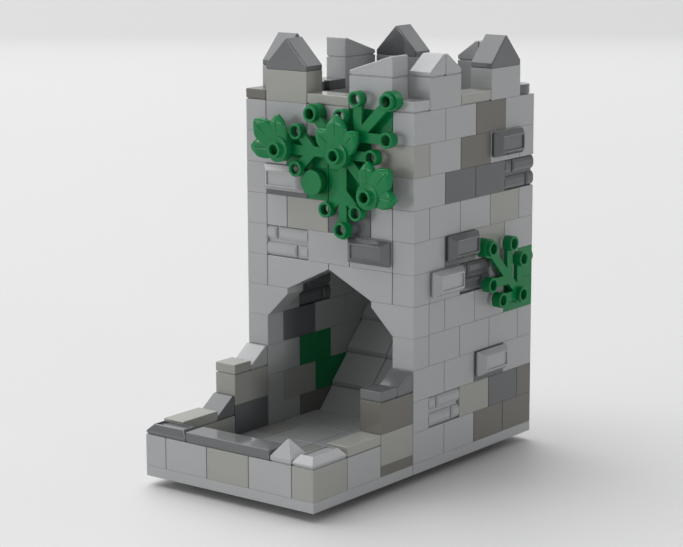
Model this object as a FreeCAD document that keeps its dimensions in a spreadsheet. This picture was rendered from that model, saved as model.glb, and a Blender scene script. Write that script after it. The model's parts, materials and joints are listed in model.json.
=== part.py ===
"""Dice tower in the shape of a small ruined castle tower, built from interlocking plastic bricks.

The tower is eight studs square and eleven brick courses high, with a battlement on top. Dice fall down
the shaft, strike the baffle and the ramp, and roll out under the pointed arch into the walled tray.
Frame: +Z up, -Y is the tray side, +X is the right-hand wall. The origin is the centre of the footprint
on the underside of the base plates. Lengths are in millimetres.
"""

import FreeCAD, Part
import os
import re

doc = FreeCAD.newDocument("dice_tower")

# ---------------------------------------------------------------- driving dimensions

sheet = doc.addObject("Spreadsheet::Sheet", "Dimensions")

DIMENSIONS = {
    "pitch": 8.0,  # spacing of the studs
    "plate": 3.2,  # height of a plate or tile, and a third of a brick
    "play": 0.1,  # gap left on each side of a piece
    "shell": 1.55,  # cell edge to the inside of a side wall
    "roof": 1.3,  # thickness of the top of a brick or plate
    "stud": 4.8,  # diameter of a stud
    "rise": 1.7,  # height of a stud
    "socket": 4.9,  # diameter of the hole that grips a stud
    "tube": 6.4,  # outside of the tube between four studs
    "post": 3.0,  # post between two studs
    "bore": 3.2,  # hole through an open stud
    "edge": 0.2,  # rounding of the outer edges
    "soft": 0.35,  # rounding of the outer edges of slopes and roofs
    "cast": 0.5,  # rounding of the outer edges of ingots
    "foot": 0.35,  # height of the groove under tiles and small slopes
    "inset": 0.45,  # depth of that groove
    "hollow": 1.9,  # depth of the recess under tiles and small slopes
    "lip": 1.6,  # upright edge at the low end of a slope
    "ridge": 0.5,  # flat at the top of a slope
    "hang": 1.8,  # thickness of the thin end of an overhanging arch piece
    "flank": 5.6,  # height of a side stud above the bottom of its brick
    "joint": 0.65,  # width of the mortar joints on a masonry brick, at their bottom
    "mortar": 0.9,  # depth of those joints
    "round": 1.3,  # slanting border along each stone's top and bottom
    "quoin": 4.0,  # length of the short stone on a masonry brick
    "bevel": 2.1,  # sloping border at the ends of an ingot
    "flare": 1.5,  # sloping border along the sides of an ingot
    "rim": 0.4,  # flat border round the recess in an ingot's top
    "panel": 0.5,  # depth of that recess
    "stem": 3.0,  # width of an ivy stem
    "under": 1.8,  # gap between the wall and the back of an ivy stem
    "knob": 6.0,  # diameter of the round end of a main ivy stem
    "boss": 7.8,  # diameter of the centre of a leaf sprig
    "slack": 0.05,  # gap between a leaf sprig and the ivy that it turns on
    "leaf_back": 1.75,  # base of a leaf sprig to the back of its leaves
    "leaf_long": 12.6,  # centre of a sprig to the tip of its middle leaf
    "leaf_short": 11.0,  # centre of a sprig to the tip of a side leaf
    "leaf_wide": 7.6,  # width of the middle leaf
    "leaf_slim": 6.6,  # width of a side leaf
}

for number, (alias, value) in enumerate(DIMENSIONS.items(), start=1):
    sheet.set(f"A{number}", alias)
    sheet.set(f"B{number}", str(value))
    sheet.setAlias(f"B{number}", alias)
doc.recompute()

COLUMNS, TRAY_ROWS, TOWER_ROWS = 8, 6, 8
ROWS = TRAY_ROWS + TOWER_ROWS
COURSES = 11
BRICK = 3  # plates in the height of a brick
SMALL_SLOPE = 2  # plates in the height of a small slope


def bind(item, **formulas):
    """Drive properties from the sheet; each word in a formula is one of its aliases."""
    for name, formula in formulas.items():
        driven = re.sub(r"[a-z_]+", lambda word: f"Dimensions.{word.group()}", str(formula))
        path = f".Placement.Base.{name}" if name in "xyz" else name
        item.setExpression(path, driven)


# ---------------------------------------------------------------- features shared by the pieces


def block(body, name, x, y, z, cut=False):
    """Box between pairs of formulas, added to the body or cut from it."""
    kind = "PartDesign::SubtractiveBox" if cut else "PartDesign::AdditiveBox"
    box = body.newObject(kind, name)
    bind(box, x=x[0], y=y[0], z=z[0])
    bind(box, Length=f"({x[1]}) - ({x[0]})", Width=f"({y[1]}) - ({y[0]})", Height=f"({z[1]}) - ({z[0]})")
    return box


def taper(body, name, z, x, y, top_x, top_y):
    """Wedge from the rectangle x by y at its foot to top_x by top_y at its head."""
    wedge = body.newObject("PartDesign::AdditiveWedge", name)
    wedge.Placement.Rotation = FreeCAD.Rotation(FreeCAD.Vector(1, 0, 0), 90)
    bind(wedge, Ymin=z[0], Ymax=z[1])
    bind(wedge, Xmin=x[0], Xmax=x[1], X2min=top_x[0], X2max=top_x[1])
    bind(wedge, Zmin=f"0 - ({y[1]})", Zmax=f"0 - ({y[0]})")
    bind(wedge, Z2min=f"0 - ({top_y[1]})", Z2max=f"0 - ({top_y[0]})")
    return wedge


def stone(body, name, x, z, ends):
    """Stone that stands out of the front of a masonry brick, in two layers that slant inwards.

    ends says, for the left and the right end, whether it slants too.
    """
    layers = {
        "base": (("mortar + edge", "mortar / 2"), ("0", "round / 4")),
        "face": (("mortar / 2", "0"), ("round / 4", "round")),
    }
    for layer, (depth, inset) in layers.items():
        pillow = body.newObject("PartDesign::AdditiveWedge", f"{name}_{layer}")
        pillow.Placement.Rotation = FreeCAD.Rotation(FreeCAD.Vector(0, 0, 1), 180)
        bind(pillow, Ymin=f"0 - (play + {depth[0]})", Ymax=f"0 - (play + {depth[1]})")
        for which, gap in zip(("", "2"), inset):
            low, high = f"0 - ({x[1]}) + {ends[1]} * {gap} / 2", f"0 - ({x[0]}) - {ends[0]} * {gap} / 2"
            limits = {f"X{which}min": low, f"X{which}max": high}
            limits.update({f"Z{which}min": f"{z[0]} + {gap}", f"Z{which}max": f"{z[1]} - {gap}"})
            bind(pillow, **limits)


def rod(body, name, x, y, z, diameter, cut=False):
    """Upright cylinder between two heights, added to the body or cut from it."""
    kind = "PartDesign::SubtractiveCylinder" if cut else "PartDesign::AdditiveCylinder"
    cylinder = body.newObject(kind, name)
    bind(cylinder, x=x, y=y, z=z[0], Radius=f"({diameter}) / 2", Height=f"({z[1]}) - ({z[0]})")
    return cylinder


def repeat(body, name, features, across, along):
    """Copies of the features one pitch apart, across by along of them."""
    axes = {feature.Role: feature for feature in body.Origin.OriginFeatures}
    pattern = body.newObject("PartDesign::LinearPattern", name)
    pattern.Originals = features
    pattern.Direction = (axes["X_Axis"], [""])
    pattern.Direction2 = (axes["Y_Axis"], [""])
    pattern.Mode = "Spacing"
    pattern.Mode2 = "Spacing"
    pattern.Occurrences = across
    pattern.Occurrences2 = along
    pattern.Spacings2 = [-1.0] * (along - 1)  # every gap along the body keeps the common offset
    bind(pattern, Offset="pitch", Offset2="pitch")
    body.Tip = pattern


def soften(body, name, radius="edge"):
    """Round every edge that the body has so far."""
    last = body.Tip
    fillet = body.newObject("PartDesign::Fillet", name)
    fillet.Base = (last, [])
    fillet.UseAllEdges = True
    bind(fillet, Radius=radius)
    doc.recompute()


def span(cells):
    return ("play", f"{cells} * pitch - play")


def inside(cells):
    return ("shell", f"{cells} * pitch - shell")


def new_body(name):
    return doc.addObject("PartDesign::Body", name)


def studs(body, across, along, height, first_row=0):
    """Studs on top of a piece, on the rows from first_row back."""
    y = f"{first_row + 0.5} * pitch"
    stud = rod(body, "stud", "pitch / 2", y, (f"{height} * plate - edge", f"{height} * plate + rise"), "stud")
    if across * (along - first_row) > 1:
        repeat(body, "stud_grid", [stud], across, along - first_row)


def foot_and_hollow(body, across, along):
    """Narrow foot that leaves the groove, and the recess that takes the studs below."""
    foot_x = ("play + inset", f"{across} * pitch - play - inset")
    foot_y = ("play + inset", f"{along} * pitch - play - inset")
    block(body, "foot", foot_x, foot_y, ("0", "foot + edge"))
    block(body, "hollow", inside(across), inside(along), ("0", "hollow"), cut=True)


# ---------------------------------------------------------------- the kinds of piece

kinds = {}


def kind_of(maker):
    """Keep each kind of piece once, with the cells that it covers, for links to repeat."""

    def once(*sizes, **options):
        key = "_".join([maker.__name__, *map(str, sizes), *map(str, options.values())])
        if key not in kinds:
            kinds[key] = maker(key, *sizes, **options)
        return kinds[key]

    return once


@kind_of
def brick(name, across, along=1, height=BRICK):
    """Hollow brick or plate with studs, and with posts or tubes where studs meet."""
    body = new_body(name)
    top = f"{height} * plate"
    block(body, "outside", span(across), span(along), ("0", top))
    soften(body, "edges")
    block(body, "inside", inside(across), inside(along), ("0", f"{top} - roof"), cut=True)
    if along == 1 and across > 1:
        post = rod(body, "post", "pitch", "pitch / 2", ("0", f"{top} - roof + edge"), "post")
        if across > 2:
            repeat(body, "posts", [post], across - 1, 1)
    elif along > 1:
        tube = rod(body, "tube", "pitch", "pitch", ("0", f"{top} - roof + edge"), "tube")
        hole = rod(body, "tube_hole", "pitch", "pitch", ("0", f"{top} - roof"), "stud", cut=True)
        if across > 2:
            repeat(body, "tubes", [tube, hole], across - 1, along - 1)
    studs(body, across, along, height)
    return body, across, along


@kind_of
def tile(name, across, along=1):
    """Smooth-topped tile with a groove round its foot."""
    body = new_body(name)
    block(body, "outside", span(across), span(along), ("foot", "plate"))
    soften(body, "edges")
    foot_and_hollow(body, across, along)
    return body, across, along


@kind_of
def round_tile(name):
    """Round tile that covers one stud."""
    body = new_body(name)
    rod(body, "disc", "pitch / 2", "pitch / 2", ("foot", "plate"), "pitch - 2 * play")
    soften(body, "edges")
    rod(body, "foot", "pitch / 2", "pitch / 2", ("0", "foot + edge"), "pitch - 2 * play - 2 * inset")
    rod(body, "hollow", "pitch / 2", "pitch / 2", ("0", "hollow"), "socket", cut=True)
    return body, 1, 1


@kind_of
def side_stud_brick(name, across, side_studs=("pitch / 2",)):
    """Brick with studs on its front face as well, at the given distances along it."""
    body = new_body(name)
    block(body, "outside", span(across), span(1), ("0", f"{BRICK} * plate"))
    soften(body, "edges")
    block(body, "inside", inside(across), inside(1), ("0", f"{BRICK} * plate - roof"), cut=True)
    for number, x in enumerate(side_studs):
        stud = body.newObject("PartDesign::AdditiveCylinder", f"side_stud_{number}")
        stud.Placement.Rotation = FreeCAD.Rotation(FreeCAD.Vector(1, 0, 0), 90)
        bind(stud, x=x, y="play + edge", z="flank", Radius="stud / 2", Height="play + edge + rise")
    studs(body, across, 1, BRICK)
    return body, across, 1


@kind_of
def masonry_brick(name):
    """Brick of two by one cells whose front shows two rows of two stones."""
    body = new_body(name)
    block(body, "core", span(2), ("play + mortar", "pitch - play"), ("0", f"{BRICK} * plate"))
    soften(body, "edges")
    middle = f"{BRICK} * plate / 2"
    rows = {
        "upper": ((f"{middle} + joint / 2", f"{BRICK} * plate - play"), "play + quoin"),
        "lower": (("play", f"{middle} - joint / 2"), "2 * pitch - play - quoin"),
    }
    for row, (z, split) in rows.items():
        stone(body, f"{row}_left_stone", ("play", f"{split} - joint / 2"), z, (0, 1))
        stone(body, f"{row}_right_stone", (f"{split} + joint / 2", "2 * pitch - play"), z, (1, 0))
    block(body, "inside", inside(2), ("shell", "pitch - shell"), ("0", f"{BRICK} * plate - roof"), cut=True)
    studs(body, 2, 1, BRICK)
    return body, 2, 1


@kind_of
def slope(name, across):
    """Two-deep brick whose front falls at 45 degrees to a low lip, with studs at the back."""
    body = new_body(name)
    x, y = span(across), span(2)
    top = f"{BRICK} * plate"
    block(body, "lip", x, y, ("0", "lip"))
    taper(body, "slope", ("lip", top), x, y, x, ("pitch", y[1]))
    soften(body, "edges", "soft")
    block(body, "hollow", inside(across), inside(2), ("0", "hollow"), cut=True)
    studs(body, across, 2, BRICK, first_row=1)
    return body, across, 2


@kind_of
def overhang(name, across):
    """Arch piece: one cell at its foot, and a soffit that rises to a thin end."""
    body = new_body(name)
    top = f"{BRICK} * plate"
    x, y = span(across), span(1)
    taper(body, "soffit", ("0", f"{top} - hang"), ("play", "pitch"), y, x, y)
    block(body, "deck", x, y, (f"{top} - hang", top))
    soften(body, "edges")
    block(body, "inside", inside(1), inside(1), ("0", f"{top} - roof"), cut=True)
    studs(body, across, 1, BRICK)
    return body, across, 1


@kind_of
def roof_slope(name):
    """Two-cell ridged roof piece; the ridge runs across its width."""
    body = new_body(name)
    x, y = span(2), span(1)
    block(body, "lip", x, y, ("0", "lip"))
    taper(body, "roof", ("lip", f"{BRICK} * plate"), x, y, ("pitch - ridge / 2", "pitch + ridge / 2"), y)
    soften(body, "edges", "soft")
    block(body, "hollow", inside(2), inside(1), ("0", "hollow"), cut=True)
    return body, 2, 1


@kind_of
def small_slope(name, along):
    """Small slope that rises from a low lip at the front to its full height at the back."""
    body = new_body(name)
    x, y = span(1), span(along)
    block(body, "lip", x, y, ("foot", "lip"))
    crest = (f"{along} * pitch - play - 2 * ridge", y[1])
    taper(body, "slope", ("lip", f"{SMALL_SLOPE} * plate"), x, y, x, crest)
    soften(body, "edges", "soft")
    foot_and_hollow(body, 1, along)
    return body, 1, along


@kind_of
def pyramid(name):
    """Four-sided point on a square base."""
    body = new_body(name)
    x, y = span(1), span(1)
    point = ("pitch / 2 - ridge / 2", "pitch / 2 + ridge / 2")
    block(body, "lip", x, y, ("foot", "lip"))
    taper(body, "point", ("lip", f"{SMALL_SLOPE} * plate"), x, y, point, point)
    soften(body, "edges", "soft")
    foot_and_hollow(body, 1, 1)
    return body, 1, 1


@kind_of
def ingot(name):
    """Two-cell ingot with bevelled borders and a sunk panel in its top."""
    body = new_body(name)
    x, y = span(2), span(1)
    shoulder = "plate - bevel"
    head_x = ("play + bevel", "2 * pitch - play - bevel")
    head_y = ("play + flare", "pitch - play - flare")
    block(body, "lip", x, y, ("foot", shoulder))
    taper(body, "border", (shoulder, "plate"), x, y, head_x, head_y)
    soften(body, "edges", "cast")
    panel_x = ("play + bevel + rim", "2 * pitch - play - bevel - rim")
    panel_y = ("play + flare + rim", "pitch - play - flare - rim")
    block(body, "panel", panel_x, panel_y, ("plate - panel", "plate + 1"), cut=True)
    foot_and_hollow(body, 2, 1)
    return body, 2, 1


# ---------------------------------------------------------------- ivy and leaves


def plain(value):
    """Number written without an exponent, which a formula can't hold."""
    return f"{value:.9f}"


def bar(name, start, end, z):
    """Flat stem between two points that are given in cells."""
    run = FreeCAD.Vector(*end, 0) - FreeCAD.Vector(*start, 0)
    turn = FreeCAD.Rotation(FreeCAD.Vector(1, 0, 0), run)
    aside = turn.multVec(FreeCAD.Vector(0, -0.5, 0))
    box = doc.addObject("Part::Box", name)
    box.Placement.Rotation = turn
    bind(box, x=f"{start[0]} * pitch + {plain(aside.x)} * stem")
    bind(box, y=f"{start[1]} * pitch + {plain(aside.y)} * stem")
    bind(box, z=z[0], Length=f"{run.Length} * pitch", Width="stem", Height=f"{z[1]} - {z[0]}")
    return box


def pin(name, at, z, diameter):
    """Upright cylinder at a point that is given in cells."""
    cylinder = doc.addObject("Part::Cylinder", name)
    bind(cylinder, x=f"{at[0]} * pitch", y=f"{at[1]} * pitch", z=z[0])
    bind(cylinder, Radius=f"({diameter}) / 2", Height=f"({z[1]}) - ({z[0]})")
    return cylinder


def joined(name, solids, holes):
    """One solid from overlapping solids, less the holes."""
    whole = doc.addObject("Part::MultiFuse", f"{name}_solid")
    whole.Shapes = solids
    cutters = doc.addObject("Part::MultiFuse", f"{name}_holes")
    cutters.Shapes = holes
    cut = doc.addObject("Part::Cut", f"{name}_cut")
    cut.Base = whole
    cut.Tool = cutters
    doc.recompute()
    rims = [
        (number, RIM_ROUNDING, RIM_ROUNDING)
        for number, edge in enumerate(cut.Shape.Edges, start=1)
        if isinstance(edge.Curve, Part.Circle) and edge.BoundBox.ZMin > cut.Shape.BoundBox.ZMax - 0.1
    ]
    rounded = doc.addObject("Part::Fillet", name)
    rounded.Base = cut
    rounded.Edges = rims
    return rounded


STEM = ("under", "plate")
RIM_ROUNDING = 0.25


def ivy(name, stems, knobs, rings):
    """Branch of flat stems; knobs end in a socket and an open stud, rings in an open tube.

    Knobs and rings map a point, in cells, to the height at which the end starts above the wall.
    """
    solids = [bar(f"{name}_stem_{number}", *ends, STEM) for number, ends in enumerate(stems)]
    holes = []
    for number, (at, start) in enumerate(knobs.items()):
        solids.append(pin(f"{name}_knob_{number}", at, (start, "plate"), "knob"))
        solids.append(pin(f"{name}_stud_{number}", at, ("plate - edge", "1.5 * plate"), "stud"))
        holes.append(pin(f"{name}_socket_{number}", at, ("0", "hollow"), "socket"))
        holes.append(pin(f"{name}_bore_{number}", at, ("0", "2 * plate"), "bore"))
    for number, (at, start) in enumerate(rings.items()):
        solids.append(pin(f"{name}_ring_{number}", at, (start, "1.5 * plate"), "stud"))
        holes.append(pin(f"{name}_ring_bore_{number}", at, ("0", "2 * plate"), "bore"))
    return joined(name, solids, holes)


def mirrored(points):
    return [*points, *[(x, -y) for x, y in points]]


def large_ivy():
    """Branch that covers six by five cells."""
    stems = [((0, 0), (3, 0)), ((0, -2), (0, 2))]
    for side in (1, -1):
        stems += [((0, 0), (1, side)), ((1, 0), (2, side)), ((0, 0), (-2, 2 * side))]
        stems += [((-1, side), (-1, 2 * side)), ((-1, side), (-2, side))]
    knobs = dict.fromkeys([(0, 0), (3, 0), (0, 2), (0, -2), (-2, 2)], "0")
    knobs[(-2, -2)] = "hollow + edge"
    rings = dict.fromkeys(mirrored([(1, 1), (2, 1), (-1, 2)]) + [(-2, -1)], "under")
    rings[(-2, 1)] = "plate"
    return ivy("large_ivy", stems, knobs, rings)


def small_ivy():
    """Branch that covers four by three cells."""
    stems = [((0, 0), (3, 0))]
    for side in (1, -1):
        stems += [((0, 0), (1, side)), ((1, 0), (2, side))]
    knobs = dict.fromkeys([(0, 0), (3, 0)], "0")
    return ivy("small_ivy", stems, knobs, dict.fromkeys(mirrored([(1, 1), (2, 1)]), "under"))


def leaf(name, length, width, angle):
    """Pointed leaf: the overlap of two discs, turned about the centre of the sprig."""
    radius = f"(({length}) ^ 2 + ({width}) ^ 2) / (4 * {width})"
    halves = []
    for side in (1, -1):
        disc = doc.addObject("Part::Cylinder", f"{name}_{'left' if side > 0 else 'right'}")
        bind(disc, Radius=radius, Height="plate - leaf_back", x=f"{length} / 2", z="leaf_back")
        bind(disc, y=f"{side} * ({radius} - {width} / 2)")
        halves.append(disc)
    blade = doc.addObject("Part::Common", name)
    blade.Base, blade.Tool = halves
    blade.Placement.Rotation = FreeCAD.Rotation(FreeCAD.Vector(0, 0, 1), angle)
    return blade


def leaf_sprig():
    """Three leaves round a one-stud centre; the middle one points along +X."""
    solids = [
        leaf("middle_leaf", "leaf_long", "leaf_wide", 0),
        leaf("left_leaf", "leaf_short", "leaf_slim", 45),
        leaf("right_leaf", "leaf_short", "leaf_slim", -45),
        pin("sprig_boss", (0, 0), ("0", "plate"), "boss"),
        pin("sprig_stud", (0, 0), ("plate - edge", "1.5 * plate"), "stud"),
    ]
    holes = [
        pin("sprig_socket", (0, 0), ("0", "hollow"), "socket"),
        pin("sprig_bore", (0, 0), ("0", "2 * plate"), "bore"),
    ]
    return joined("leaf_sprig", solids, holes)


# ---------------------------------------------------------------- placing pieces

nodes = {}


def repeat_of(node, source):
    """Link to a kind of piece, kept in the group of the node that it belongs to."""
    group = nodes.setdefault(node, [])
    link = doc.addObject("App::Link", f"{node}_{len(group) + 1}")
    link.LinkedObject = source
    group.append(link)
    return link


def place(node, piece, column, row, level, turn=0):
    """Stand a piece on the grid: turn counts quarter turns, level counts plates from the floor."""
    source, across, along = piece
    shift = [(0, 0), (along, 0), (across, along), (0, across)][turn]
    link = repeat_of(node, source)
    link.Placement.Rotation = FreeCAD.Rotation(FreeCAD.Vector(0, 0, 1), 90 * turn)
    bind(link, x=f"{column + shift[0] - COLUMNS / 2} * pitch", y=f"{row + shift[1] - ROWS / 2} * pitch")
    bind(link, z=f"{level} * plate")


# Each wall: direction to the right as seen from outside, outward direction, and wall plane in cells.
WALLS = {
    "front": ((1, 0), (0, -1), TRAY_ROWS - ROWS / 2),
    "right": ((0, 1), (1, 0), COLUMNS / 2),
    "back": ((-1, 0), (0, 1), ROWS / 2),
    "left": ((0, -1), (-1, 0), COLUMNS / 2),
}


def hang_on(node, source, wall, cell, height, proud="0", spin=0, corner=False):
    """Fix a piece to a wall: its foot on the wall plane, at a cell and a height above the floor.

    cell counts columns or tower rows from the left or front end of the wall. A piece whose origin is
    the corner of its footprint, not its centre, is moved back by half a cell.
    """
    right, out, plane = WALLS[wall]
    side = FreeCAD.Vector(*right, 0)
    outward = FreeCAD.Vector(*out, 0)
    facing = FreeCAD.Rotation(side, FreeCAD.Vector(0, 0, 1), outward, "ZXY")
    link = repeat_of(node, source)
    link.Placement.Rotation = facing * FreeCAD.Rotation(FreeCAD.Vector(0, 0, 1), spin)
    middle = cell - COLUMNS / 2 if right[0] else cell + TRAY_ROWS - ROWS / 2
    back_off = 0.5 if corner else 0
    along_x = f"({middle * abs(right[0])} - {back_off * right[0]}) * pitch"
    along_y = f"({middle * abs(right[1])} - {back_off * right[1]}) * pitch"
    depth = f"({abs(plane)} * pitch + {proud})"
    bind(link, x=f"{along_x} + {out[0]} * {depth}", y=f"{along_y} + {out[1]} * {depth}")
    bind(link, z=f"{height} - {back_off} * pitch")


def level_of(course):
    """Level, in plates, of the bottom of a wall course."""
    return 1 + BRICK * (course - 1)


def flank_of(course):
    """Height of the side studs of a wall course."""
    return f"{level_of(course)} * plate + flank"


# ---------------------------------------------------------------- base, floor and ramp


def build_base():
    place("tray_base_plate", brick(COLUMNS, TRAY_ROWS, height=1), 0, 0, 0)
    place("tower_base_plate", brick(COLUMNS, TOWER_ROWS, height=1), 0, TRAY_ROWS, 0)


def build_floor():
    """Smooth floor from the tray wall to the foot of the ramp."""
    for row in (1, 3, 5, 7):
        for column, width in ((1, 1), (2, 2), (4, 2), (6, 1)):
            warm = (column, row) in ((1, 5), (4, 3))
            node = "floor_tiles_warm" if warm else "floor_tiles_light"
            if width == 1:
                place(node, tile(2), column, row, 1, turn=1)
            else:
                place(node, tile(2, 2), column, row, 1)


RAMP_STEPS = 4
RAMP_FOOT = 9  # row where the ramp starts


def build_ramp():
    """Four rows of slopes up to the back wall, with bricks behind the two lowest."""
    for step in range(RAMP_STEPS):
        for column in (1, 3, 5):
            place(f"ramp_step_{step + 1}", slope(2), column, RAMP_FOOT + step, level_of(step + 1))
    for column in (1, 3, 5):
        place("ramp_support_bricks", brick(2, 2), column, RAMP_FOOT + 2, level_of(1))
        place("ramp_support_bricks", brick(2), column, RAMP_FOOT + 3, level_of(2))


def build_baffle():
    """Ledge inside the front wall that tumbles the dice: slopes on two deep bricks."""
    for column in (2, 4):
        place("baffle_slopes", slope(2), column, TRAY_ROWS + 1, level_of(9), turn=2)
    for column in range(2, 6):
        place("baffle_caps", small_slope(1), column, TRAY_ROWS + 1, level_of(10), turn=2)


# ---------------------------------------------------------------- walls

# A wall course is written from its left or front end, as letters with lengths in cells.
# L W B D G are plain bricks: light, warm, brown, dark grey and green. M and m are light and dark
# masonry, n is dark masonry that faces the inside. S and T are light side-stud bricks, s and t dark
# ones; S and s carry a dark ingot, T and t a light one. P, F and g are green side-stud bricks.
# V and U are bricks two cells deep. A and a are arch shoulders, C and c arch crowns, - is a gap.
WALL_COURSES = {
    11: {
        "front": "-1 L2 L2 G2 -1",
        "right": "L2 L2 B2 L2",
        "back": "-1 L2 W2 L2 -1",
        "left": "L2 B2 L2 L2",
    },
    10: {
        "front": "L2 G2 P2 W2",
        "right": "-1 L2 B2 S2 -1",
        "back": "L2 B2 L2 L2",
        "left": "-1 W2 s2 L2 -1",
    },
    9: {
        "front": "-1 t2 g1 G3 -1",
        "right": "L2 D2 D2 m2",
        "back": "-1 t2 L2 D2 -1",
        "left": "L2 L2 m2 L2",
    },
    8: {
        "front": "L1 L1 V2 U2 L1 L1",
        "right": "-1 L2 L2 W2 -1",
        "back": "W2 L2 L2 L2",
        "left": "-1 D2 L2 L2 -1",
    },
    7: {
        "front": "-1 M2 L2 S2 -1",
        "right": "L2 s2 W2 L2",
        "back": "-1 L2 M2 L2 -1",
        "left": "L2 L2 W2 T2",
    },
    6: {
        "front": "L1 C3 c3 L1",
        "right": "-1 T2 m2 L2 -1",
        "back": "L2 D2 L2 G2",
        "left": "-1 L2 B2 L2 -1",
    },
    5: {
        "front": "A2 -4 a2",
        "right": "-1 L1 L2 L2 F2",
        "back": "-1 L2 W2 F2 -1",
        "left": "-1 L1 n2 L2 L2",
    },
    4: {
        "front": "L1 -6 L1",
        "right": "-1 L2 L2 L2 -1",
        "back": "L1 -6 L1",
        "left": "-1 D2 L2 S2 -1",
    },
    3: {
        "front": "-8",
        "right": "L2 L2 t2 L2",
        "back": "-1 W2 L2 D2 -1",
        "left": "L2 G2 L2 B2",
    },
    2: {
        "front": "L1 -6 L1",
        "right": "-1 M2 W2 D2 -1",
        "back": "L2 L2 D2 B2",
        "left": "-1 W2 G2 L2 -1",
    },
    1: {
        "front": "-8",
        "right": "L2 L2 B2 B2",
        "back": "-1 L2 m2 L2 -1",
        "left": "L2 B2 L2 B2",
    },
}

PLAIN = {"W": "warm_bricks", "B": "brown_bricks", "D": "dark_bricks", "G": "green_bricks"}
DEEP = {"V": "warm_bricks", "U": "dark_bricks"}
MASONRY = {"M": "masonry_bricks_light", "m": "masonry_bricks_dark", "n": "masonry_bricks_dark"}
INGOTS = {"S": "ingots_dark", "s": "ingots_dark", "T": "ingots_light", "t": "ingots_light"}
STUDDED = {"S": "side_stud_bricks_light", "T": "side_stud_bricks_light"}
STUDDED.update({"s": "side_stud_bricks_dark", "t": "side_stud_bricks_dark"})
PAIR_OF_STUDS = ("pitch / 2", "1.5 * pitch")
GREEN_STUDS = {"P": ("pitch",), "F": ("pitch / 2",), "g": ("pitch / 2",)}
FACING = {"front": 0, "right": 1, "back": 2, "left": 3}


def wall_piece(letter, cells, course):
    """Node and kind of a brick in a wall course."""
    if letter == "L":
        return f"course_{course:02d}_light_bricks", brick(cells)
    if letter in PLAIN:
        return PLAIN[letter], brick(cells)
    if letter in DEEP:
        return DEEP[letter], brick(cells, 2)
    if letter in MASONRY:
        return MASONRY[letter], masonry_brick()
    if letter in INGOTS:
        return STUDDED[letter], side_stud_brick(cells, side_studs=PAIR_OF_STUDS)
    if letter in GREEN_STUDS:
        return "side_stud_bricks_green", side_stud_brick(cells, side_studs=GREEN_STUDS[letter])
    if letter in "Aa":
        return "arch_shoulders", overhang(cells)
    return "arch_crowns", overhang(cells)


def lay_course(course, wall, pattern):
    """Lay one wall's share of a course, with the ingots that it carries."""
    cell = 0
    for letter, cells in ((word[0], int(word[1:])) for word in pattern.split()):
        if letter != "-":
            node, piece = wall_piece(letter, cells, course)
            turn = FACING[wall]
            if letter in "ACac":
                turn = 2 if letter.islower() else 0
            if letter == "n":
                turn = (turn + 2) % 4
            column, row = {
                "front": (cell, TRAY_ROWS),
                "right": (COLUMNS - 1, TRAY_ROWS + cell),
                "back": (cell, ROWS - 1),
                "left": (0, TRAY_ROWS + cell),
            }[wall]
            place(node, piece, column, row, level_of(course), turn)
        if letter in INGOTS:
            first = cell + 0.5 if wall in ("front", "right") else cell + 1.5
            hang_on(INGOTS[letter], ingot()[0], wall, first, flank_of(course), corner=True)
        cell += cells
    if cell != COLUMNS:
        raise ValueError(f"the {wall} wall of course {course} is {cell} cells long")


def build_walls():
    for course, walls in sorted(WALL_COURSES.items()):
        for wall, pattern in walls.items():
            lay_course(course, wall, pattern)


# ---------------------------------------------------------------- battlement


def merlon(node, column, row, turn):
    """Brick of a merlon, whose top piece starts one brick higher."""
    place(node, brick(2), column, row, level_of(COURSES + 1), turn)


def build_battlement():
    """Merlons two cells wide with roof pieces, and tiles between them."""
    parapet = level_of(COURSES + 1)
    crest = level_of(COURSES + 2)
    front, back, left, right = TRAY_ROWS, ROWS - 1, 0, COLUMNS - 1
    merlon("warm_bricks", 1, front, 0)
    for column, row, turn in ((5, front, 0), (1, back, 0), (5, back, 0)):
        merlon("merlon_bricks_light", column, row, turn)
    for column in (left, right):
        merlon("merlon_bricks_light", column, front + 1, 1)
        merlon("merlon_bricks_light", column, front + 5, 1)
    place("merlon_roofs", roof_slope(), 1, front, crest)
    place("merlon_roofs", roof_slope(), 1, back, crest)
    place("merlon_roofs", roof_slope(), left, front + 1, crest, turn=1)
    place("merlon_roofs", roof_slope(), right, front + 5, crest, turn=1)
    place("merlon_wedges", small_slope(2), 5, front, crest, turn=3)
    place("merlon_wedges", small_slope(2), left, front + 5, crest, turn=2)
    place("merlon_small_slopes", small_slope(1), right, front + 1, crest)
    place("merlon_small_slopes", small_slope(1), right, front + 2, crest, turn=2)
    place("merlon_small_slopes", small_slope(1), 5, back, crest, turn=3)
    place("merlon_small_slopes", small_slope(1), 6, back, crest, turn=1)
    place("parapet_tiles_warm", tile(2), 3, front, parapet)
    place("parapet_tiles_warm", tile(2), right, front + 3, parapet, turn=1)
    place("parapet_tiles_light", tile(2), 3, back, parapet)
    place("parapet_tiles_light", tile(1), right, front, parapet)
    place("parapet_tiles_light", tile(1), left, back, parapet)
    place("parapet_tile_dark", tile(1), left, front + 4, parapet)
    place("parapet_tile_brown", tile(1), left, front, parapet)
    place("parapet_round_tiles", round_tile(), right, back, parapet)
    place("parapet_round_tiles", round_tile(), left, front + 3, parapet)


# ---------------------------------------------------------------- tray


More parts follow.
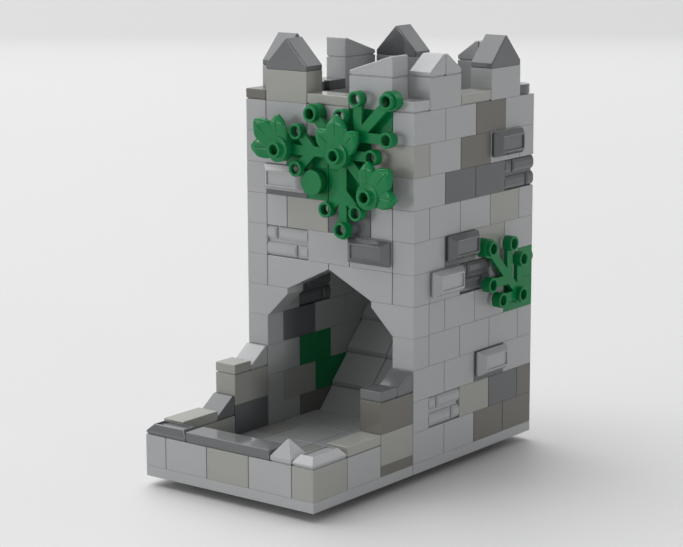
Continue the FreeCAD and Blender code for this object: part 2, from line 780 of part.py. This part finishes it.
def build_tray():
    """Low wall round the tray, capped with tiles and ingots, rising in two steps to the tower."""
    left, right, step_row = 0, COLUMNS - 1, TRAY_ROWS - 2
    cap = level_of(2)
    place("tray_bricks_light", brick(2), left, 0, 1, turn=1)
    place("tray_bricks_light", brick(2), 1, 0, 1)
    place("tray_bricks_warm", brick(2), 3, 0, 1)
    place("tray_bricks_light", brick(2), 5, 0, 1)
    place("tray_bricks_warm", brick(2), right, 0, 1, turn=1)
    place("tray_bricks_warm", brick(2), left, 2, 1, turn=1)
    place("tray_bricks_light", brick(2), right, 2, 1, turn=1)
    place("ingots_dark", ingot(), left, 0, cap)
    place("tray_tiles_dark", tile(4), 2, 0, cap)
    place("tray_pyramid", pyramid(), 6, 0, cap)
    place("ingots_light", ingot(), right, 0, cap, turn=1)
    place("tray_tiles_warm", tile(2), right, 2, cap, turn=1)
    place("tray_tiles_warm", tile(2), left, 1, cap, turn=1)
    place("tray_small_slopes_dark", small_slope(1), left, 3, cap)
    place("tray_bricks_light", brick(2, height=1), left, step_row, 1, turn=1)
    place("tray_bricks_dark", brick(2), left, step_row, 2, turn=1)
    place("tray_bricks_warm", brick(2), left, step_row, 2 + BRICK, turn=1)
    place("tray_bricks_brown", brick(2, height=1), right, step_row, 1, turn=1)
    place("tray_bricks_warm", brick(2), right, step_row, 2, turn=1)
    place("tray_bricks_brown", brick(2), right, step_row, 2 + BRICK, turn=1)
    step_cap = 2 + 2 * BRICK
    place("tray_tiles_warm", tile(1), left, step_row, step_cap)
    place("tray_small_slope_light", small_slope(1), left, step_row + 1, step_cap)
    place("tray_tiles_dark", tile(1), right, step_row, step_cap)
    place("tray_small_slopes_dark", small_slope(1), right, step_row + 1, step_cap)


# ---------------------------------------------------------------- plants

# Each sprig: the cells, right and up from the centre of the large ivy, of the knob that it sits on,
# and the direction of its middle leaf in degrees.
SPRIGS = {"left": ((-2, 2), 135), "centre": ((0, 0), 90), "right": ((0, -2), 45)}
IVY_CELL, IVY_COURSE, IVY_SPIN = 5, 10, 45


def build_plants():
    branch, twig, leaves = large_ivy(), small_ivy(), leaf_sprig()
    hang_on("ivy_front", branch, "front", IVY_CELL, flank_of(IVY_COURSE), spin=IVY_SPIN)
    hang_on("ivy_side", twig, "right", 6.5, flank_of(5), spin=135)
    hang_on("ivy_back", twig, "back", 6.5, flank_of(5), spin=82)
    hang_on("green_round_tile", round_tile()[0], "front", 3.5, flank_of(9), corner=True)
    turned = FreeCAD.Rotation(FreeCAD.Vector(0, 0, 1), IVY_SPIN)
    for name, (knob, angle) in SPRIGS.items():
        step = turned.multVec(FreeCAD.Vector(*knob, 0))
        height = f"{flank_of(IVY_COURSE)} + {plain(step.y)} * pitch"
        cell = IVY_CELL + step.x
        hang_on(f"leaf_sprig_{name}", leaves, "front", cell, height, proud="plate + slack", spin=angle)


# ---------------------------------------------------------------- build, check and write


def check(item):
    """Stop if an object failed to compute."""
    if {"Invalid", "Error"} & set(item.State):
        raise RuntimeError(f"{item.Label} did not compute: {item.State}")


build_base()
build_floor()
build_ramp()
build_baffle()
build_walls()
build_battlement()
build_tray()
build_plants()
doc.recompute()

groups = []
for node, links in nodes.items():
    group = doc.addObject("Part::Compound", node)
    group.Label = node
    group.Links = links
    groups.append(group)
doc.recompute()

for item in doc.Objects:
    check(item)
for group in groups:
    solids = group.Shape.Solids
    if group.Shape.isNull() or not group.Shape.isValid() or len(solids) != len(group.Links):
        raise RuntimeError(f"{group.Label} has no valid shape, or {len(solids)} solids")

os.makedirs("parts", exist_ok=True)
for group in groups:
    group.Shape.exportStep(f"parts/{group.Label}.step")
total = sum(len(group.Shape.Solids) for group in groups)
print(f"{len(groups)} nodes, {total} pieces")
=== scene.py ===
"""Looks of the brick-built dice tower: moulded plastic materials, leaf sprigs, light and camera."""

import json
import math

import bmesh
import bpy
from mathutils import Euler, Matrix, Vector


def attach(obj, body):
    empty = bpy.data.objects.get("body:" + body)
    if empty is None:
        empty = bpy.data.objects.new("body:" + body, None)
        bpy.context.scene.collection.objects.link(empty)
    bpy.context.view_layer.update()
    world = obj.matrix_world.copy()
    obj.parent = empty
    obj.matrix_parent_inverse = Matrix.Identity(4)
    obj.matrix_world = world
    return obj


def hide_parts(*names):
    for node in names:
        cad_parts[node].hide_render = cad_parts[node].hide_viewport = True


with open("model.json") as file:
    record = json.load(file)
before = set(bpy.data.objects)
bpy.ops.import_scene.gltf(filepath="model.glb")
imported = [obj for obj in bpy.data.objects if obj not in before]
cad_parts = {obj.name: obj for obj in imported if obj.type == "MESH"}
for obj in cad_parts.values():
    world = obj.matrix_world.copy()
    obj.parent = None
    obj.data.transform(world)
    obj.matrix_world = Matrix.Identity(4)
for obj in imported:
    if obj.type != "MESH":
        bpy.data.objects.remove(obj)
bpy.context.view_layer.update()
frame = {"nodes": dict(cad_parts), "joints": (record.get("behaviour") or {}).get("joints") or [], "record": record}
MM = 0.001

# ---------------------------------------------------------------- materials

PLASTIC_IOR = 1.54
FLOW_MARKS = 45  # scale of the faint colour changes in a piece
GLOSS_MARKS = 60  # scale of the changes in its gloss
GLOSS_CHANGE = 0.08  # share by which its roughness goes up and down
WAVES = (35, 0.06 * MM, 0.3)  # scale, height and strength of its long shallow waves
GRAIN = (2600, 0.006 * MM, 0.15)  # the same for its fine grain
LIGHTER_MARKS = 0.3  # strength of its lighter flow marks, as a share of the darker ones'
NOISE_MIDDLE = (0.3, 0.7)  # range of a noise that is stretched over the whole of a change


def linear(*channels):
    """Screen colour from 0 to 255 as the linear colour that a shader takes."""
    return tuple((c / 255) ** 2.2 for c in channels)


def mixed(colour, other, share):
    return tuple(a + (b - a) * share for a, b in zip(colour, other))


class Shader:
    """Small builder for a material's node tree."""

    def __init__(self, name):
        self.material = bpy.data.materials.new(name)
        self.material.use_nodes = True
        self.tree = self.material.node_tree
        self.surface = self.tree.nodes["Principled BSDF"]
        self.place = self.add("ShaderNodeTexCoord").outputs["Object"]

    def add(self, kind, **settings):
        """New node; each setting is an attribute of the node or the value of one of its inputs."""
        node = self.tree.nodes.new(kind)
        for key, value in settings.items():
            if hasattr(node, key):
                setattr(node, key, value)
            else:
                node.inputs[key].default_value = value
        return node

    def join(self, source, target):
        self.tree.links.new(source, target)

    def noise(self, scale, detail):
        node = self.add("ShaderNodeTexNoise", Scale=scale, Detail=detail)
        self.join(self.place, node.inputs["Vector"])
        return node.outputs["Fac"]

    def spread(self, noise, low, high):
        """Map the middle range of a noise to the range low to high."""
        node = self.add("ShaderNodeMapRange")
        for key, number in zip(("From Min", "From Max", "To Min", "To Max"), (*NOISE_MIDDLE, low, high)):
            node.inputs[key].default_value = number
        self.join(noise, node.inputs["Value"])
        return node.outputs["Result"]

    def blend(self, share, first, second):
        node = self.add("ShaderNodeMix", data_type="RGBA")
        node.inputs[6].default_value = (*first, 1)
        node.inputs[7].default_value = (*second, 1)
        self.join(share, node.inputs[0])
        return node.outputs[2]

    def bump(self, height, distance, strength, below=None):
        node = self.add("ShaderNodeBump", Distance=distance, Strength=strength)
        self.join(height, node.inputs["Height"])
        if below:
            self.join(below, node.inputs["Normal"])
        return node.outputs["Normal"]


def plastic(name, colour, roughness, specular=0.3, mottle=0.02):
    """Injection-moulded plastic: faint flow marks in its colour and gloss, and a fine moulded grain."""
    shader = Shader(name)
    surface = shader.surface
    flow = shader.spread(shader.noise(FLOW_MARKS, detail=2), 0, 1)
    darker = mixed(colour, (0, 0, 0), mottle)
    lighter = mixed(colour, (1, 1, 1), mottle * LIGHTER_MARKS)
    shader.join(shader.blend(flow, darker, lighter), surface.inputs["Base Color"])
    gloss = shader.spread(shader.noise(GLOSS_MARKS, detail=2),
                          roughness * (1 - GLOSS_CHANGE), roughness * (1 + GLOSS_CHANGE))
    shader.join(gloss, surface.inputs["Roughness"])
    waves = shader.bump(shader.noise(WAVES[0], detail=0), *WAVES[1:])
    grain = shader.bump(shader.noise(GRAIN[0], detail=1), *GRAIN[1:], below=waves)
    shader.join(grain, surface.inputs["Normal"])
    surface.inputs["IOR"].default_value = PLASTIC_IOR
    surface.inputs["Specular IOR Level"].default_value = specular
    return shader.material


LIGHT = linear(160, 162, 163)
WARM = linear(150, 151, 145)
BROWN = linear(106, 104, 98)
DARK = linear(96, 98, 100)
GREEN = linear(16, 116, 66)

# One finish for each material slot of the record.
FINISHES = {
    "light_grey_bricks": plastic("light_grey_plastic", LIGHT, 0.24),
    "light_grey_smooth": plastic("light_grey_glossy_plastic", LIGHT, 0.12, specular=0.45),
    "warm_grey_bricks": plastic("warm_grey_plastic", WARM, 0.24),
    "warm_grey_smooth": plastic("warm_grey_glossy_plastic", WARM, 0.14, specular=0.45),
    "brown_grey_bricks": plastic("brown_grey_plastic", BROWN, 0.2),
    "dark_grey_bricks": plastic("dark_grey_plastic", DARK, 0.18),
    "dark_grey_smooth": plastic("dark_grey_glossy_plastic", DARK, 0.08, specular=0.5),
    "green_bricks": plastic("green_plastic", GREEN, 0.18, specular=0.2),
    "green_leaves": plastic("leaf_green_plastic", GREEN, 0.15, specular=0.22, mottle=0.04),
    "green_stems": plastic("stem_green_plastic", GREEN, 0.2, specular=0.2, mottle=0.03),
}

for part in frame["record"]["subparts"]:
    node = frame["nodes"][part["node"]]
    node.data.materials.clear()
    node.data.materials.append(FINISHES[part["material_slot"]])

# ---------------------------------------------------------------- leaf sprigs

# A sprig is made lying flat, in millimetres, with its axis up and its middle leaf along +X.
# A place on a leaf is its share u of the length and its offset from the middle.

# Direction of each sprig's middle leaf on the wall, in degrees up from +X.
LEAF_DIRECTIONS = {"leaf_sprig_left": 135, "leaf_sprig_centre": 90, "leaf_sprig_right": 45}
MIDDLE_LEAF = (12.3, 8.1)  # length and width
SIDE_LEAF = (10.6, 6.7)
SIDE_TURNS = (45, -45)  # directions of the side leaves from the middle one
SIDE_SUNK = 0.4  # how far the side leaves lie below the middle one
ALONG = 44  # divisions along a leaf
HALF_ACROSS = (0.02, 0.045, 0.075, 0.12, 0.2, 0.32, 0.46, 0.6, 0.72, 0.82, 0.9, 0.955, 0.985, 1.0)
ACROSS = [-v for v in HALF_ACROSS[::-1]] + [0.0, *HALF_ACROSS]  # closest together along the vein
WIDEST = 0.5  # where along it a leaf is widest
NECK = 0.48  # its width at the centre of the sprig, as a share of the most
LEAST = 0.02  # the same at its tip
TIP_CURVE = (2.3, 0.9)  # powers that shape the outline from the widest place to the tip
BACK = 5.04  # lowest that the back of a leaf may lie
THICK = 1.1
HEIGHT = 5.8  # of the face at the centre of the sprig
RISE = 1.4  # from there to the fold
FOLD = 0.8  # where along the leaf its tip bends back towards the wall
FOLD_POINT = 0.1  # how much sooner it does so at the rim
FALL = 3.3  # slope of the tip, over a leaf's length
CAMBER = 0.35  # how far the face drops from the middle to the rim
RIM = 12  # power that rounds the face off towards its rim; more is a narrower rounding
TIP = 60  # the same towards the tip
SKIN = 0.02  # thickness that is left at the rim
VEIN = (0.44, 0.9)  # where along the leaf the vein starts and ends
VEIN_DEEP = 0.19
VEIN_HALF = 0.22  # half its width

# Section of a sprig's centre, as radius and height: body, open stud in front, and the socket behind.
CENTRE = [(2.45, 3.25), (3.9, 3.25), (3.9, 6.45), (2.4, 6.45),
          (2.4, 8.05), (1.6, 8.05), (1.6, 5.15), (2.45, 5.15)]
CENTRE_ROUNDING = 0.18
WALL_FRONT = -8 * MM  # y of the wall's face, where the height 0 of a sprig lies


def half_width(u):
    """Half the width of a leaf, as a share of the most."""
    if u < WIDEST:
        return NECK + (1 - NECK) * math.sin(math.pi / 2 * u / WIDEST)
    return max(0.0, 1 - ((u - WIDEST) / (1 - WIDEST)) ** TIP_CURVE[0]) ** TIP_CURVE[1]


def face_height(u, across):
    """Height of a leaf's face, which rises to the fold and falls from it.

    The fold points at the tip: it is nearer the centre where across, the share of the way from the
    middle to the rim, is larger.
    """
    fold = FOLD - FOLD_POINT * across
    return HEIGHT + RISE * min(u, fold) / fold - FALL * max(0.0, u - fold)


def vein_depth(u, offset):
    """Depth of the groove along the middle of a leaf."""
    if not VEIN[0] < u < VEIN[1]:
        return 0.0
    return max(0.0, VEIN_DEEP * (1 - abs(offset) / VEIN_HALF))


def leaf(mesh, length, width, turn, sunk=0.0):
    """One leaf: a pointed oval with soft rims, a fine vein, and a tip that bends back."""
    spin = Matrix.Rotation(math.radians(turn), 3, "Z")
    top, under = [], []
    for i in range(ALONG + 1):
        u = i / ALONG
        half = width / 2 * max(half_width(u), LEAST)
        face, back = [], []
        for v in ACROSS:
            offset = v * half
            across = abs(offset) / (width / 2)
            rim = (1 - v ** RIM) ** 0.5 * (1 - u ** TIP) ** 0.5
            high = face_height(u, across) - sunk - CAMBER * across ** 2 - vein_depth(u, offset)
            low = max(BACK, high - THICK)
            edge = low + (high - low) * rim + SKIN
            face.append(mesh.verts.new(spin @ Vector((u * length, offset, edge))))
            back.append(mesh.verts.new(spin @ Vector((u * length, offset, low))))
        top.append(face)
        under.append(back)
    for rows, flip in ((top, False), (under, True)):
        for a, b in zip(rows, rows[1:]):
            for j in range(len(ACROSS) - 1):
                corners = [a[j], b[j], b[j + 1], a[j + 1]]
                mesh.faces.new(corners[::-1] if flip else corners)
    outline = [[row[0] for row in rows] + rows[-1][1:-1] + [row[-1] for row in rows[::-1]]
               + rows[0][-2:0:-1] for rows in (top, under)]
    for k, (a, b) in enumerate(zip(*outline)):
        m = (k + 1) % len(outline[0])
        mesh.faces.new([a, b, outline[1][m], outline[0][m]])


def turned_ring(mesh, profile, steps=48):
    """Closed profile of (radius, height) turned about the sprig's axis."""
    rings = []
    for i in range(steps):
        angle = 2 * math.pi * i / steps
        rings.append([mesh.verts.new((r * math.cos(angle), r * math.sin(angle), z)) for r, z in profile])
    for i, ring in enumerate(rings):
        following = rings[(i + 1) % steps]
        for k in range(len(profile)):
            m = (k + 1) % len(profile)
            mesh.faces.new([ring[k], following[k], following[m], ring[m]])


def rounded(corners, radius, steps=3):
    """Profile whose corners are rounded off."""
    points = []
    for i, corner in enumerate(corners):
        here = Vector(corner)
        before = (Vector(corners[i - 1]) - here).normalized() * radius
        after = (Vector(corners[(i + 1) % len(corners)]) - here).normalized() * radius
        for k in range(steps + 1):
            t = k / steps
            points.append(tuple(here + before * (1 - t) ** 2 + after * t ** 2))
    return points


def leaf_sprig(name, hub, direction):
    """Sprig whose axis stands out of the front wall at the hub, which is in metres."""
    mesh = bmesh.new()
    leaf(mesh, *MIDDLE_LEAF, turn=0)
    for turn in SIDE_TURNS:
        leaf(mesh, *SIDE_LEAF, turn, sunk=SIDE_SUNK)
    turned_ring(mesh, rounded(CENTRE, CENTRE_ROUNDING))
    bmesh.ops.recalc_face_normals(mesh, faces=mesh.faces)
    data = bpy.data.meshes.new(name)
    mesh.to_mesh(data)
    mesh.free()
    facing = Matrix(((1, 0, 0), (0, 0, -1), (0, 1, 0))).to_4x4()  # +Z to -Y, and +Y to +Z
    spin = Matrix.Rotation(math.radians(direction), 4, "Z")
    data.transform(Matrix.Translation(hub) @ facing @ spin @ Matrix.Scale(MM, 4))
    data.materials.append(FINISHES["green_leaves"])
    data.shade_smooth()
    return show(name, data)


def show(name, data):
    """New object in the scene."""
    thing = bpy.data.objects.new(name, data)
    bpy.context.scene.collection.objects.link(thing)
    return thing


for joint in frame["joints"]:
    cad_name = "leaf_" + joint["child"]
    x, _, z = joint["pos_m"]
    sprig = leaf_sprig(cad_name + "_detailed", Vector((x, WALL_FRONT, z)), LEAF_DIRECTIONS[cad_name])
    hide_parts(cad_name)
    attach(sprig, joint["child"])

# ---------------------------------------------------------------- floor, light and camera

FLOOR_DROP = -2.8 * MM  # the base stands this far above the floor, which gives its deep soft shadow
FLOOR_REACH = 9.0
FLOOR_CLOUDS = 1.2  # scale of the faint changes in the floor's grey
FLOOR_GREYS = ((0.62,) * 3, (0.635,) * 3)
FLOOR_ROUGHNESS = 0.55
SKY = (0.99, 0.99, 1.0, 1)
SKY_STRENGTH = 0.32
AIM = (0, 0, 0.06)  # where the panels point

# Name, direction that the light comes from, strength, and apparent size in degrees.
SUNS = (
    ("overhead_light", (-0.48, 0.12, 0.87), 2.8, 72),
    ("front_fill", (-0.4, -0.9, 0.06), 0.48, 12),
    ("side_fill", (0.95, -0.2, 0.08), 0.55, 12),
)

# Name, place, size and power. In the camera's view, faces to the front that lean back a little mirror the
# first panel, slopes to the right mirror the second, and flat tops mirror the last.
PANELS = (
    ("front_panel", (-0.85, -1.05, 0.36), (1.4, 0.36), 3.6),
    ("right_panel", (0.42, 1.0, 0.72), (0.6, 0.5), 1.15),
    ("back_panel", (-0.85, 1.1, 0.4), (1.2, 0.5), 0.9),
)

CAMERA_PLACE = (0.39754, -0.51379, 0.18668)
CAMERA_TILT = 78.671  # degrees up from straight down
CAMERA_TURN = 37.81  # degrees from looking along +Y
CAMERA_ROLL = -0.0032  # radians about its own axis
CAMERA_LENS = 114.2  # on a sensor 36 mm wide


def floor():
    shader = Shader("pale_floor")
    cloud = shader.spread(shader.noise(FLOOR_CLOUDS, detail=2), 0, 1)
    shader.join(shader.blend(cloud, *FLOOR_GREYS), shader.surface.inputs["Base Color"])
    shader.surface.inputs["Roughness"].default_value = FLOOR_ROUGHNESS
    data = bpy.data.meshes.new("floor")
    corners = [(x * FLOOR_REACH, y * FLOOR_REACH, FLOOR_DROP)
               for x, y in ((-1, -1), (1, -1), (1, 1), (-1, 1))]
    data.from_pydata(corners, [], [(0, 1, 2, 3)])
    data.materials.append(shader.material)
    plane = show("floor", data)


def softbox(name, place, size, power):
    """Rectangular lamp, which the camera doesn't see."""
    data = bpy.data.lights.new(name, "AREA")
    data.shape = "RECTANGLE"
    data.size, data.size_y = size
    data.energy = power
    lamp = show(name, data)
    lamp.location = place
    lamp.rotation_euler = (Vector(AIM) - Vector(place)).to_track_quat("-Z", "Y").to_euler()
    lamp.visible_camera = False


def sun(name, toward, strength, spread):
    data = bpy.data.lights.new(name, "SUN")
    data.energy = strength
    data.angle = math.radians(spread)
    lamp = show(name, data)
    lamp.rotation_euler = Vector(toward).to_track_quat("Z", "Y").to_euler()


def studio():
    world = bpy.data.worlds.new("studio")
    world.use_nodes = True
    sky = world.node_tree.nodes["Background"]
    sky.inputs["Color"].default_value = SKY
    sky.inputs["Strength"].default_value = SKY_STRENGTH
    bpy.context.scene.world = world
    bpy.context.scene.view_settings.view_transform = "Standard"
    for settings in SUNS:
        sun(*settings)
    for settings in PANELS:
        softbox(*settings)


def camera():
    data = bpy.data.cameras.new("camera")
    data.sensor_width = 36
    data.lens = CAMERA_LENS
    data.clip_start = 0.01
    data.clip_end = 60
    view = show("camera", data)
    view.location = CAMERA_PLACE
    level = Euler((math.radians(CAMERA_TILT), 0, math.radians(CAMERA_TURN))).to_matrix()
    view.rotation_euler = (level @ Matrix.Rotation(CAMERA_ROLL, 3, "Z")).to_euler()
    bpy.context.scene.camera = view


floor()
studio()
camera()
